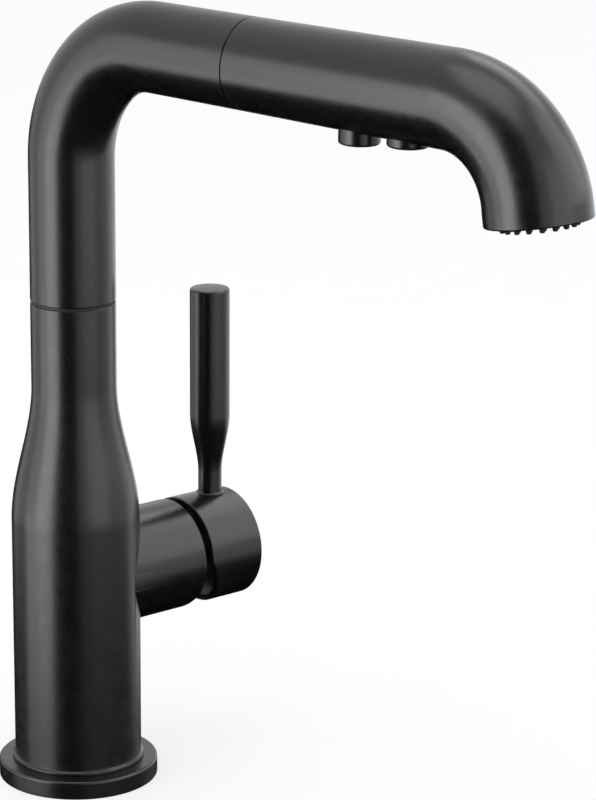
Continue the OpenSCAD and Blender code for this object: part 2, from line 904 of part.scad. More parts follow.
module stem_pin() {
    color("silver") on_boss(pivot_x) rotate([90, 0, 0]) rod(pin_r, -12.8, 12.8);
}

module moving_disc() {
    color("#e8e4d8") on_boss() difference() {
        rod(disc_r, disc_x, disc_x + disc_t);
        rod(ball_r + 0.25, disc_x + disc_floor, disc_x + disc_t + cut);
    }
}

module valve_stem() {
    color("silver") on_boss() difference() {
        union() {
            translate([0, 0, ball_x]) sphere(r = ball_r);
            rod(ball_neck_r, ball_x, pivot_x);
            rod(stem_r, 27, stem_end);
        }
        translate([0, 0, pivot_x]) rotate([90, 0, 0]) rod(pin_r + run, -stem_r - cut, stem_r + cut);
    }
}

// ================= handle =================
module handle_hub() {
    color("#2b2b2c") difference() {
        on_boss() turned([
            [0, hub_x],
            [boss_r - 0.4, hub_x],
            [boss_r, hub_x + 0.4],
            [boss_r, hub_end - 0.5],
            [boss_r - 0.5, hub_end],
            [0, hub_end]
        ]);
        on_boss() rod(boss_r - hub_wall, hub_x - cut, hub_x + hub_hollow);
        relief(hub_x, hub_relief_z, 1);
        on_boss() rod(stem_r + seat, hub_x, stem_end + 0.2);
        translate([lever_x, 0, 0]) rod(lever_stem_r + seat, lever_foot, boss_z + boss_r + cut);
        translate([lever_x - 1, 0, 0]) rod(2.5, boss_z - boss_r - cut, boss_z);
        translate([lever_x - 1, 0, 0]) rod(3.2, boss_z - boss_r - cut, boss_z - boss_r + 3);
    }
}

module lever() {
    color("#2b2b2c") translate([lever_x, 0, 0]) turned([
        [0, lever_foot],
        [lever_stem_r, lever_foot],
        for (i = [0:taper_steps])
            [lever_stem_r + (lever_r - lever_stem_r)*ease(i/taper_steps),
             taper_lo + (taper_hi - taper_lo)*i/taper_steps],
        for (i = [0:4])
            [lever_r - lever_edge*(1 - cos(22.5*i)), lever_top - 0.4 - lever_edge*(1 - sin(22.5*i))],
        [lever_r/2, lever_top - 0.1],
        [0, lever_top]
    ]);
}

module set_screw() {
    color("silver") translate([lever_x - 1, 0, 0]) difference() {
        rod(2.45, boss_z - 14, boss_z - stem_r);
        translate([0, 0, boss_z - 14 - cut]) cylinder(r = 1.4, h = 3 + cut, $fn = 6);
    }
}

module screw_plug() {
    color("#2b2b2c") translate([lever_x - 1, 0, 0]) rod(3.15, boss_z - boss_r + 0.4, boss_z - boss_r + 3);
}

base_ring();
base_gasket();
body_shell();
seam_ring();
retaining_ring();
mounting_shank();
clamp_rubber();
clamp_washer();
mounting_nut();
nut_screw_1();
nut_screw_2();
valve_body();
seal_hot();
seal_cold();
seal_outlet();
cartridge_housing();
fixed_disc();
limit_ring();
bonnet_nut();
bonnet_sleeve();
outlet_tube();
outlet_nipple();
hose_lower();
hose_nipple();
spout_tube();
swivel_sleeve();
glide_ring_lower();
glide_ring_upper();
sleeve_seal();
docking_collar();
dock_magnet();
hose_upper();
wand_shell();
dock_spigot();
hose_connector();
hose_front();
check_valve();
wand_inlet_tube();
diverter_housing();
rocker_pin();
spray_waterway();
head_manifold();
spray_plate();
nozzle_mat();
aerator();
aerator_screen();
toggle_rocker();
spray_button();
stream_button();
rotator();
stem_pin();
moving_disc();
valve_stem();
handle_hub();
lever();
set_screw();
screw_plug();
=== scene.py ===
# %% [markdown]
# # A matte black kitchen faucet with a pull-out spray
# The CAD model is already packed as a set of named nodes on moving bodies. This script loads it
# as a fixed frame and dresses it: smooth skins where the CAD is faceted, a real thread, a braided
# hose, soft spray nozzles, and one procedural material for each real finish.

# %% Load the CAD frame
import bpy
import json
import math
from mathutils import Matrix, Vector


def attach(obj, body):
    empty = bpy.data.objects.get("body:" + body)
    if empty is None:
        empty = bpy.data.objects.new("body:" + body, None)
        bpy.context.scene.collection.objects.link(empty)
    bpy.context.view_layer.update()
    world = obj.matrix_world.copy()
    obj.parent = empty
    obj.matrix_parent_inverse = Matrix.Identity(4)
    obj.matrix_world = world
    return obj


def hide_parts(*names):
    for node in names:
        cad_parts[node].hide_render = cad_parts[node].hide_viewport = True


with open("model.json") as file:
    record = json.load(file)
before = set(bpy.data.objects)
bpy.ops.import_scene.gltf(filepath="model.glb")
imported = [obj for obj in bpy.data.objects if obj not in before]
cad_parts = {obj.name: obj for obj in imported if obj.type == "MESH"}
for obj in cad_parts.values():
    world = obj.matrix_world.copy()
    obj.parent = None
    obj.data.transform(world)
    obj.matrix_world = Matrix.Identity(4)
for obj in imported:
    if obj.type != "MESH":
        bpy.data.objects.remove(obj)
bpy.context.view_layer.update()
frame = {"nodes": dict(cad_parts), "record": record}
nodes = frame["nodes"]

# %% [markdown]
# The camera comes first, because it decides how large every detail is in the picture. It stands
# about 1.3 m away with a long lens, low and to the left, so the faucet shows its side and the
# spout comes forward. The picture is a window beside the lens axis, which is a small lens shift.

# %% Camera
WIDTH, HEIGHT = 596, 800
AZIMUTH, ELEVATION = math.radians(-39.1), math.radians(15.82)
FOCAL_PX, AXIS_X, AXIS_Y = 3413.9, 218.68, 414.32     # lens, and where its axis meets the picture
FOOT_X, FOOT_Y, FOOT_DEPTH = 78.69, 770.19, 1.2585    # where the base's middle is in the picture
back = Vector((math.sin(AZIMUTH)*math.cos(ELEVATION), -math.cos(AZIMUTH)*math.cos(ELEVATION),
               math.sin(ELEVATION)))
right = Vector((math.cos(AZIMUTH), math.sin(AZIMUTH), 0))
up = back.cross(right)
eye = (-(FOOT_X - AXIS_X)/FOCAL_PX*FOOT_DEPTH*right - (AXIS_Y - FOOT_Y)/FOCAL_PX*FOOT_DEPTH*up
       + FOOT_DEPTH*back)
lens = bpy.data.cameras.new("Camera")
lens.sensor_width = 36
lens.lens = FOCAL_PX/HEIGHT*lens.sensor_width
lens.shift_x = (WIDTH/2 - AXIS_X)/HEIGHT
lens.shift_y = (AXIS_Y - HEIGHT/2)/HEIGHT
lens.clip_start, lens.clip_end = 0.05, 50
camera = bpy.data.objects.new("Camera", lens)
camera.matrix_world = Matrix.Translation(eye) @ Matrix((right, up, back)).transposed().to_4x4()
bpy.context.scene.collection.objects.link(camera)
bpy.context.scene.camera = camera
print(f"camera at {[round(c, 3) for c in eye]} m, {lens.lens:.0f} mm lens")

# %% [markdown]
# Sizes are in millimetres and come from the CAD model. Three small frames save a lot of sums:
# the arm's frame has +Z along the wand and +Y up, the head's frame points out of the spray end,
# and the boss's frame has +Z along the valve's axis.

# %% Sizes and frames
MM = 0.001
RING_R, RING_H, FOOT_R, LIP_R, BODY_R, NECK_R = 29, 6.8, 19.8, 24, 23.1, 15.25
SHOULDER_LO, SHOULDER_HI, LIP_Z, SPOUT_LO = 98, 147.3, 178, 178.95
ARM_FALL, BEND_R1, BEND_R2, BEND_EXIT_R, ARM_LEN, ARM_Z = 1.1, 46, 37, 15.595, 42, 274
ARM_R, GRIP_R, HEAD_R = 15.8, 16.4, 17.63
GRIP_LEN, WAND_BEND_R, WAND_BEND_A, TAIL = 83.5, 35.4, 80, 5
BUTTON_R, BUTTON_1_S, BUTTON_2_S, BUTTON_1_DEPTH, BUTTON_TRAVEL = 7, 46.8, 66.7, 20, 2
BOSS_Z, BOSS_R, BOSS_END, HUB_X, HUB_END, RELIEF = 75.2, 20.25, 44.9, 47.8, 70.9, 20
LEVER_X, LEVER_R, STEM_R, LEVER_TOP = 62.3, 7.35, 4.35, 173.7
SPLIT, STOP = 45, 90 + ARM_FALL


def sin(a): return math.sin(math.radians(a))
def cos(a): return math.cos(math.radians(a))


def turn(angle, axis): return Matrix.Rotation(math.radians(angle), 4, axis)
def shift(x, y, z): return Matrix.Translation((x, y, z))


mid_u, mid_v = BEND_R1*(1 - cos(SPLIT)), BEND_R1*sin(SPLIT)
end_u = mid_u + BEND_R2*(cos(SPLIT) - cos(STOP))
end_v = mid_v + BEND_R2*(sin(STOP) - sin(SPLIT))
bend_z = ARM_Z - end_v - end_u*math.tan(math.radians(ARM_FALL))
wand_u = end_u + ARM_LEN*cos(ARM_FALL)
wand_z = bend_z + end_v - ARM_LEN*sin(ARM_FALL)
SPOUT = turn(10, "Z")
ARM = SPOUT @ shift(0, -wand_u, wand_z) @ turn(90 + ARM_FALL, "X")
HEAD = (ARM @ shift(0, -WAND_BEND_R*(1 - cos(WAND_BEND_A)), GRIP_LEN + WAND_BEND_R*sin(WAND_BEND_A))
        @ turn(WAND_BEND_A, "X"))
BOSS = shift(0, 0, BOSS_Z) @ turn(90, "Y")
print(f"the wand starts {wand_u:.1f} mm out and {wand_z:.1f} mm up")

# %% [markdown]
# Nearly everything here was turned on a lathe or drawn through a bend, so two builders cover it.
# `lathe` spins an outline of (radius, height) points. `sweep` runs round rings along a bent path.
# Sharp corners look false up close, so `soften` first rounds each corner of an outline by its own
# radius, and the small arcs catch the light as real edges do.

# %% Rounded corners
def soften(points, steps=5):
    """Points are (r, z) or (r, z, radius). Each corner with a radius becomes a small arc."""
    out = []
    for i, point in enumerate(points):
        if len(point) < 3:
            out.append(tuple(point))
            continue
        corner = Vector(point[:2])
        a = (Vector(points[i - 1][:2]) - corner).normalized()
        b = (Vector(points[(i + 1) % len(points)][:2]) - corner).normalized()
        half = a.angle(b)/2
        reach = point[2]/math.tan(half)
        centre = corner + (a + b).normalized()*point[2]/math.sin(half)
        start, stop = corner + a*reach - centre, corner + b*reach - centre
        for k in range(steps + 1):
            arm = start.lerp(stop, k/steps).normalized()*point[2]
            out.append(tuple(centre + arm))
    return out


print(f"one softened corner has {len(soften([(0, 0), (9, 0, 1), (9, 9)])) - 2} points")

# %% Turned and swept meshes
CRISP = 32      # an edge that turns by more degrees than this stays sharp


def mesh_of(name, points, faces, place, uvs=None, angle=CRISP):
    """A mesh from points in millimetres. place is the frame that they are in."""
    mesh = bpy.data.meshes.new(name)
    mesh.from_pydata([(place @ Vector(p))*MM for p in points], [], faces)
    mesh.polygons.foreach_set("use_smooth", [True]*len(mesh.polygons))
    mesh.set_sharp_from_angle(angle=math.radians(angle))
    if uvs:
        layer = mesh.uv_layers.new(name="UVMap")
        layer.uv.foreach_set("vector", [c for face in uvs for uv in face for c in uv])
    mesh.validate()
    mesh.update()
    return mesh


def lathe(name, outline, place=Matrix(), sides=160, ring=False, angle=CRISP):
    """Spins the outline about Z. An outline that starts and ends at radius 0 closes there."""
    points, rows = [], []
    for r, z in outline:
        if r < 1e-6:
            rows.append([len(points)]*sides)
            points.append((0, 0, z))
        else:
            rows.append(range(len(points), len(points) + sides))
            points += [(r*math.cos(2*math.pi*k/sides), r*math.sin(2*math.pi*k/sides), z)
                       for k in range(sides)]
    faces = []
    for j in range(len(rows) if ring else len(rows) - 1):
        a, b = rows[j], rows[(j + 1) % len(rows)]
        for k in range(sides):
            n = (k + 1) % sides
            loop = list(dict.fromkeys([a[k], a[n], b[n], b[k]]))
            if len(loop) > 2:
                faces.append(loop)
    return mesh_of(name, points, faces, place, angle=angle)


def sweep(name, outer, inner, place, sides=128, angle=CRISP):
    """Stations are (forward, up, heading, radius). The wall runs out along outer and back along
    inner."""
    stations = outer + inner[::-1]
    points = [(r*cos(360*k/sides), r*sin(360*k/sides)*cos(h) - u, r*sin(360*k/sides)*sin(h) + v)
              for u, v, h, r in stations for k in range(sides)]
    faces, uvs, along = [], [], 0
    for j, station in enumerate(stations):
        following = stations[(j + 1) % len(stations)]
        step = math.hypot(following[0] - station[0], following[1] - station[1])
        a, b = j*sides, (j + 1) % len(stations)*sides
        for k in range(sides):
            n = (k + 1) % sides
            faces.append((a + k, b + k, b + n, a + n))
            uvs.append([(k/sides, along), (k/sides, along + step),
                        ((k + 1)/sides, along + step), ((k + 1)/sides, along)])
        along += step
    return mesh_of(name, points, faces, place, uvs, angle)


def arc(start, radius, turned, steps, r0, r1):
    """Stations round a bend from start = (forward, up, heading)."""
    u, v, h = start
    out = []
    for k in range(1, steps + 1):
        a = h + turned*k/steps
        out.append((u + radius*(cos(h) - cos(a)), v + radius*(sin(a) - sin(h)), a,
                    r0 + (r1 - r0)*k/steps))
    return out


def ease(t): return t*t*(3 - 2*t)


print("lathe and sweep ready")

# %% [markdown]
# Holes and joined solids come from Blender's exact boolean solver. It works on a spare object, and
# its result is read back as a plain mesh. The gap beside the handle is cut by a block whose edge
# leans as far as the handle tilts.

# %% Joining and cutting
def combine(mesh, tool_meshes, operation):
    """Unites a mesh with solid tools, or cuts them out of it."""
    piece = bpy.data.objects.new("work", mesh)
    bpy.context.scene.collection.objects.link(piece)
    tools = []
    for tool_mesh in tool_meshes:
        tool = bpy.data.objects.new("tool", tool_mesh)
        bpy.context.scene.collection.objects.link(tool)
        tools.append(tool)
        step = piece.modifiers.new("step", "BOOLEAN")
        step.operation, step.object, step.solver = operation, tool, "EXACT"
    bpy.context.view_layer.update()
    solved = piece.evaluated_get(bpy.context.evaluated_depsgraph_get())
    made = bpy.data.meshes.new_from_object(solved)
    made.name = mesh.name
    made.polygons.foreach_set("use_smooth", [True]*len(made.polygons))
    made.set_sharp_from_angle(angle=math.radians(CRISP))
    for thing in [piece] + tools:
        bpy.data.objects.remove(thing)
    return made


def rod(r, z0, z1, place=Matrix(), sides=96):
    return lathe("rod", [(0, z0), (r, z0), (r, z1), (0, z1)], place, sides)


def leaning_block(x, z, side, reach=40):
    """A block whose edge leans away from (x, z) on the way down. It cuts towards side in X."""
    corners = [(i*-side*reach, j*reach*0.6, k*-reach)
               for i in (0, 1) for j in (-1, 1) for k in (0, 1)]
    faces = [(0, 1, 3, 2), (4, 6, 7, 5), (0, 4, 5, 1), (2, 3, 7, 6), (0, 2, 6, 4), (1, 5, 7, 3)]
    place = shift(x, 0, BOSS_Z + z) @ turn(-side*RELIEF, "Y")
    return mesh_of("block", corners, [face[::side] for face in faces], place)


print("cutting tools ready")

# %% [markdown]
# Materials are node trees. One helper adds a node, sets its options and links its sockets, and
# another turns the sRGB hex values of a colour card into the linear values that shaders use.
# Patterns use object coordinates in metres, so a grain of 0.8 mm has a scale of 1 / 0.0008.

# %% Material helpers
def linear(code):
    """An sRGB hex colour as linear RGBA."""
    parts = [int(code[i:i + 2], 16)/255 for i in (1, 3, 5)]
    return [c/12.92 if c <= 0.04045 else ((c + 0.055)/1.055)**2.4 for c in parts] + [1]


def add(tree, kind, options=None, **sockets):
    """Adds a node. A socket is set to a value, or linked where the value is another socket."""
    made = tree.nodes.new("ShaderNode" + kind)
    for name, value in (options or {}).items():
        setattr(made, name, value)
    for name, value in sockets.items():
        name = name.replace("_", " ")
        socket = made.inputs[int(name[1:])] if name[1:].isdigit() else made.inputs[name]
        if isinstance(value, bpy.types.NodeSocket):
            tree.links.new(value, socket)
        else:
            socket.default_value = value
    return made


def new_finish(name):
    """Makes an empty material, and returns it with its node tree and its principled shader."""
    made = bpy.data.materials.new(name)
    made.use_nodes = True
    return made, made.node_tree, made.node_tree.nodes["Principled BSDF"]


def two_tones(tree, factor, dark, light):
    return add(tree, "Mix", {"data_type": "RGBA"}, i0=factor, i6=linear(dark),
               i7=linear(light)).outputs[2]


def spread(tree, factor, low, high):
    """Stretches a 0 to 1 pattern to the range low to high."""
    return add(tree, "MapRange", From_Min=0.3, From_Max=0.7, To_Min=low, To_Max=high,
               Value=factor).outputs[0]


def grain(tree, size_mm, stretch=(1, 1, 1), detail=2):
    """Noise whose blobs are about size_mm across. stretch makes it finer along an axis."""
    place = add(tree, "TexCoord").outputs["Object"]
    fitted = add(tree, "Mapping", Vector=place, Scale=stretch).outputs[0]
    return add(tree, "TexNoise", Vector=fitted, Scale=1/(size_mm*MM), Detail=detail,
               Roughness=0.5).outputs[0]


def relief(tree, pattern, depth_mm, strength):
    return add(tree, "Bump", Height=pattern, Distance=depth_mm*MM, Strength=strength).outputs[0]


finishes = {}
print("helpers ready")

# %% [markdown]
# The outside is brass with a cured black coating. It is matte but not dead: a wide, soft sheen
# slides along the tubes. The coating dries with a faint orange peel, drawn here at 0.9 mm, a
# little coarser than life so that it shows, and its rounded edges get a painted highlight. The wand
# is moulded ABS with the same coating, a touch smoother because plastic takes it more evenly.

# %% Black coatings
def coating(name, dark, light, edge_highlight, rough_low, rough_high, peel_mm, sheen_level):
    made, tree, shader = new_finish(name)
    clouds = two_tones(tree, grain(tree, size_mm=14), dark, light)
    # Rounded edges are mixed towards a lighter colour: a painted highlight along the edges.
    edge = add(tree, "NewGeometry").outputs["Pointiness"]
    edge_highlight_mask = add(tree, "MapRange", Value=edge, From_Min=0.53, From_Max=0.62, To_Min=0,
               To_Max=0.5).outputs[0]
    colour = add(tree, "Mix", {"data_type": "RGBA"}, i0=edge_highlight_mask, i6=clouds,
                 i7=linear(edge_highlight)).outputs[2]
    tree.links.new(colour, shader.inputs["Base Color"])
    tree.links.new(spread(tree, grain(tree, size_mm=5), rough_low, rough_high),
                   shader.inputs["Roughness"])
    tree.links.new(relief(tree, grain(tree, peel_mm), depth_mm=0.012, strength=0.12),
                   shader.inputs["Normal"])
    shader.inputs["Specular IOR Level"].default_value = sheen_level
    return made


# The third colour in each call is the painted highlight on the rounded edges.
finishes["matte_black_metal"] = coating("Black cured coating on brass",
                                        "#0b0a0b", "#0e0d0e", "#262526", 0.26, 0.31, 0.9, 0.5)
finishes["matte_black_plastic"] = coating("Black coating on moulded ABS",
                                          "#0b0b0c", "#0e0e0e", "#252425", 0.25, 0.3, 0.8, 0.5)
print("two black coatings")

# %% [markdown]
# The hidden and half-hidden pieces each keep their own real material: moulded black nylon with a
# fine spark-eroded texture, silicone that is dull and slightly dusty, and nitrile seals. They are
# close in colour, so roughness and grain tell them apart.

# %% Moulded plastics and rubbers
def moulded(name, dark, light, rough, grain_mm, depth_mm, ior=1.5):
    made, tree, shader = new_finish(name)
    tree.links.new(two_tones(tree, grain(tree, size_mm=9), dark, light),
                   shader.inputs["Base Color"])
    tree.links.new(spread(tree, grain(tree, size_mm=3), rough - 0.05, rough + 0.05),
                   shader.inputs["Roughness"])
    tree.links.new(relief(tree, grain(tree, grain_mm), depth_mm, strength=0.35),
                   shader.inputs["Normal"])
    shader.inputs["IOR"].default_value = ior
    return made


# slot: name, dark and light tone, roughness, grain and its depth in mm, IOR
MOULDED = {
    "black_plastic": ("Moulded black nylon", "#101011", "#161617", 0.5, 0.5, 0.02, 1.53),
    "nozzle_rubber": ("Silicone rubber", "#0c0c0d", "#151516", 0.62, 0.6, 0.02, 1.41),
    "black_rubber": ("Nitrile rubber", "#141415", "#1d1d1e", 0.7, 0.9, 0.03, 1.52),
    "natural_acetal": ("Moulded natural acetal", "#d4d3cc", "#e0dfd9", 0.38, 0.8, 0.01, 1.48),
    "ptfe": ("Turned fluoropolymer", "#e6e5e1", "#f0efec", 0.45, 1.2, 0.01, 1.38),
    "red_plastic": ("Moulded red acetal", "#a83422", "#b94030", 0.4, 0.8, 0.01, 1.48),
    "blue_plastic": ("Moulded blue polypropylene", "#3a68a8", "#4474b4", 0.42, 0.8, 0.01, 1.49),
    "ceramic": ("Lapped alumina ceramic", "#e9e4d6", "#f3efe4", 0.22, 0.5, 0.004, 1.76)}
for slot, settings in MOULDED.items():
    finishes[slot] = moulded(*settings)
print(f"{len(finishes)} finishes so far")

# %% [markdown]
# Machined metals show the path of the tool: fine rings round the axis of a turned part. Noise
# that is squeezed along that axis gives rings of uneven depth. Feed marks are about 0.15 mm apart,
# too fine to draw from this distance, so they are drawn at 0.4 mm. Plating and drawing leave no
# such rings, so the magnet and the copper tube get a coarser, quieter grain.

# %% Machined metals
def machined(name, dark, light, rough, mark_mm, axis):
    made, tree, shader = new_finish(name)
    shader.inputs["Metallic"].default_value = 1
    stretch = [0.02, 0.02, 0.02]
    stretch["XYZ".index(axis)] = 1
    marks = grain(tree, mark_mm, tuple(stretch), detail=3)
    tree.links.new(two_tones(tree, grain(tree, size_mm=6), dark, light),
                   shader.inputs["Base Color"])
    tree.links.new(spread(tree, marks, rough - 0.08, rough + 0.08), shader.inputs["Roughness"])
    tree.links.new(relief(tree, marks, depth_mm=0.01, strength=0.4), shader.inputs["Normal"])
    return made


BRASS = ("#b89a5e", "#c8ab6c", 0.3, 0.4)      # dark and light tone, roughness, mm between marks
STEEL = ("#b4b3b0", "#c4c3c0", 0.28, 0.4)
finishes["brass"] = machined("Turned brass", *BRASS, "Z")
finishes["stainless_steel"] = machined("Turned stainless steel", *STEEL, "Z")
finishes["magnet"] = machined("Nickel-plated magnet", "#a9a8a6", "#b7b6b4", 0.24, 0.8, "Z")
finishes["copper"] = machined("Drawn copper tube", "#b8714c", "#c88460", 0.3, 0.9, "Z")
cross_brass = machined("Turned brass, valve axis", *BRASS, "X")
cross_steel = machined("Turned steel, valve axis", *STEEL, "X")
print(f"{len(finishes)} finishes so far")

# %% [markdown]
# The spray hose wears a braid of nylon yarn. Strands run round it both ways and cross over and
# under. Two diagonal sine waves on the hose's own UV map, one per direction, make the strands,
# and the higher of the two is on top. One strand is 1.2 mm wide.

# %% Braided nylon
def braid(name, dark, light, strands, strand_mm):
    made, tree, shader = new_finish(name)
    split = add(tree, "SeparateXYZ", Vector=add(tree, "TexCoord").outputs["UV"])
    ways = []
    for side in (1, -1):
        around = add(tree, "Math", {"operation": "MULTIPLY"}, i0=split.outputs[0],
                     i1=side*strands*2*math.pi)
        along = add(tree, "Math", {"operation": "MULTIPLY"}, i0=split.outputs[1],
                    i1=math.pi/strand_mm)
        both = add(tree, "Math", {"operation": "ADD"}, i0=around.outputs[0], i1=along.outputs[0])
        ways.append(add(tree, "Math", {"operation": "SINE"}, i0=both.outputs[0]).outputs[0])
    top = add(tree, "Math", {"operation": "MAXIMUM"}, i0=ways[0], i1=ways[1]).outputs[0]
    height = add(tree, "MapRange", Value=top, From_Min=-1, From_Max=1, To_Min=0,
                 To_Max=1).outputs[0]
    # Colour follows the weave's height: painted shade in the low places between strands, lighter on
    # the crowns.
    tree.links.new(two_tones(tree, height, dark, light), shader.inputs["Base Color"])
    tree.links.new(relief(tree, height, depth_mm=0.25, strength=0.8), shader.inputs["Normal"])
    tree.links.new(spread(tree, grain(tree, size_mm=2), 0.5, 0.62), shader.inputs["Roughness"])
    shader.inputs["Sheen Weight"].default_value = 0.2
    shader.inputs["Sheen Roughness"].default_value = 0.4
    return made


# The dark tone is the painted shade between strands, and the light tone is the lit crowns.
finishes["braided_nylon"] = braid("Braided nylon yarn", "#1b1b1d", "#4b4b4e", 8, 1.2)
print(f"{len(finishes)} finishes")

# %% [markdown]
# A piece takes its finish from the record's material slot. `dress` makes the object, gives it
# its material, sets it on the body that carries it and hides the CAD node that it stands for.

# %% Dress helper and CAD nodes
slot_of = {part["node"]: part["material_slot"] for part in frame["record"]["subparts"]}
body_of = {node: body for body, held in frame["record"]["behaviour"]["bodies"].items()
           for node in held}


def dress(name, mesh, node, finish=None):
    piece = bpy.data.objects.new(name, mesh)
    bpy.context.scene.collection.objects.link(piece)
    mesh.materials.clear()
    mesh.materials.append(finish or finishes[slot_of[node]])
    smooth = piece.modifiers.new("even shading", "WEIGHTED_NORMAL")
    smooth.keep_sharp = True
    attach(piece, body_of[node])
    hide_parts(node)
    return piece


ALONG_VALVE = {"valve_body": cross_brass, "bonnet_nut": cross_brass, "valve_stem": cross_steel}
for node, piece in nodes.items():
    finish = ALONG_VALVE.get(node, finishes[slot_of[node]])
    if piece.material_slots:
        for held in piece.material_slots:
            held.material = finish
    else:
        piece.data.materials.append(finish)
print(f"{len(nodes)} CAD nodes have a finish")

# %% [markdown]
# The base ring is a turned disc that covers the hole in the deck. Its top edge is well rounded,
# which gives the bright line round the faucet's foot.

# %% Base ring
ring_outline = soften([(FOOT_R + 0.05, 0), (RING_R, 0, 0.5), (RING_R, RING_H, 1),
                       (FOOT_R + 0.05, RING_H)], 8)
base_ring = dress("BaseRing", lathe("BaseRing", ring_outline, sides=192, ring=True), "base_ring")
print(f"base ring {len(base_ring.data.polygons)} faces")

# %% [markdown]
# The body is one casting: a tall turned column that eases into a thinner neck, with the valve
# boss growing out of its side. Lathing both and uniting them keeps each surface truly round. The
# inside is cut the same way, so the gap beside the handle looks into a real hollow.

# %% Body
body_steps = 40
shoulder = [(BODY_R + (NECK_R - BODY_R)*ease(i/body_steps),
             SHOULDER_LO + (SHOULDER_HI - SHOULDER_LO)*i/body_steps) for i in range(body_steps + 1)]
foot = [(0, 0.8), (FOOT_R, 0.8), (FOOT_R, RING_H + 0.02), (LIP_R, RING_H + 0.02, 0.2),
        (LIP_R, RING_H + 1.2, 0.5), (BODY_R, RING_H + 1.75, 0.3), (BODY_R, 40)]
column = soften(foot + shoulder + [(NECK_R, LIP_Z, 0.3), (0, LIP_Z)], 7)
boss = soften([(0, 0), (BOSS_R, 0), (BOSS_R, BOSS_END, 1), (0, BOSS_END)], 6)
CAVITY_R, CAVITY_LO, CAVITY_STEPS, BOSS_BORE, SHANK_HOLE_R = 20.6, 12, 14, 18.4, 16.55
RELIEF_Z = -10.8      # where the boss's face starts to lean back, against the valve's axis
cavity = [(0, CAVITY_LO), (CAVITY_R, CAVITY_LO), (CAVITY_R, SHOULDER_LO)]
cavity += [(CAVITY_R - 8*ease(i/CAVITY_STEPS), SHOULDER_LO + 33*i/CAVITY_STEPS)
           for i in range(1, CAVITY_STEPS + 1)]
cavity += [(CAVITY_R - 8, LIP_Z + 1), (0, LIP_Z + 1)]
body = combine(lathe("Body", column, sides=192), [lathe("boss", boss, BOSS, 192)], "UNION")
body_cuts = [lathe("cavity", cavity, sides=96), rod(BOSS_BORE, 0, BOSS_END + 1, BOSS, 128),
             rod(SHANK_HOLE_R, -1, CAVITY_LO + 1), leaning_block(BOSS_END, RELIEF_Z, -1)]
body = combine(body, body_cuts, "DIFFERENCE")
dress("Body", body, "body_shell")
print(f"body {len(body.polygons)} faces")

# %% [markdown]
# The spout is a drawn tube: straight riser, a bend whose radius tightens half way, and a short
# arm. Sweeping circles along the path with many steps keeps the long highlight unbroken.

# %% Spout
SPOUT_WALL = 1.8
# The arm swells a little, and its end is rounded: distance before the wand, radius.
ARM_RINGS = ((28, 15.66), (14, 15.73), (0.55, ARM_R), (0.37, ARM_R - 0.07), (0.3, ARM_R - 0.25))
BORE = NECK_R - SPOUT_WALL
outer = [(0, SPOUT_LO, 0, NECK_R - 0.3), (0, SPOUT_LO + 0.1, 0, NECK_R - 0.12),
         (0, SPOUT_LO + 0.3, 0, NECK_R)]
outer += [(0, SPOUT_LO + 0.3 + (bend_z - SPOUT_LO - 0.3)*k/6, 0, NECK_R) for k in range(1, 7)]
middle = (NECK_R + BEND_EXIT_R)/2
first = arc((0, bend_z, 0), BEND_R1, SPLIT, 30, NECK_R, middle)
outer += first + arc(first[-1][:3], BEND_R2, STOP - SPLIT, 30, middle, BEND_EXIT_R)
for back_off, r in ARM_RINGS:
    outer.append((wand_u - back_off*cos(ARM_FALL), wand_z + back_off*sin(ARM_FALL), STOP, r))
inner = [(u, v, h, BORE) for u, v, h, r in outer]
spout = dress("Spout", sweep("Spout", outer, inner, SPOUT), "spout_tube")
print(f"spout {len(spout.data.polygons)} faces")

# %% [markdown]
# The wand's shell swells slowly towards the spray end and bends down. Its two round button wells
# are cut right through the wall, so the buttons move in real holes.

# %% Wand shell
GRIP_STEPS, BEND_STEPS, WAND_WALL, WAND_EDGE, BUTTON_GAP = 12, 48, 2.2, 0.6, 0.3


def wand_radius(part):
    """The radius round the bend. part runs from 0 to 1, and the shell swells slowly at first."""
    return GRIP_R + (HEAD_R - GRIP_R)*(0.35*part + 0.65*part*part)


def shell(thin):
    """Stations of the grip and the bend, thin mm inside the wand's skin."""
    line = [(0, 0.15, 0, ARM_R - thin - (0.25 if thin == 0 else 0)), (0, 0.25, 0, ARM_R - thin)]
    line += [(0, GRIP_LEN*k/GRIP_STEPS, 0, ARM_R + (GRIP_R - ARM_R)*k/GRIP_STEPS - thin)
             for k in range(1, GRIP_STEPS + 1)]
    for k in range(1, BEND_STEPS + 1):
        heading = WAND_BEND_A*k/BEND_STEPS
        line.append((WAND_BEND_R*(1 - cos(heading)), GRIP_LEN + WAND_BEND_R*sin(heading), heading,
                     wand_radius(k/BEND_STEPS) - thin))
    return line


def tail(along, r):
    """A station on the short straight end, along mm behind the bend."""
    return (WAND_BEND_R*(1 - cos(WAND_BEND_A)) + along*sin(WAND_BEND_A),
            GRIP_LEN + WAND_BEND_R*sin(WAND_BEND_A) + along*cos(WAND_BEND_A), WAND_BEND_A, r)


outer = shell(0) + [tail(TAIL - WAND_EDGE*(1 - sin(15*k)), HEAD_R - WAND_EDGE*(1 - cos(15*k)))
                    for k in range(7)]
inner = shell(WAND_WALL) + [tail(TAIL, HEAD_R - WAND_WALL)]
down = [ARM @ shift(0, 0, s) @ turn(90, "X") for s in (BUTTON_1_S, BUTTON_2_S)]
wells = [rod(BUTTON_R + BUTTON_GAP, 8, 21, place) for place in down]
wand_mesh = combine(sweep("WandShell", outer, inner, ARM), wells, "DIFFERENCE")
wand = dress("WandShell", wand_mesh, "wand_shell")
print(f"wand shell {len(wand.data.polygons)} faces")

# %% [markdown]
# The two buttons toggle between spray and stream: as one is pressed the other rises. Each is a
# short moulded plug with a softly rounded, very slightly crowned face.

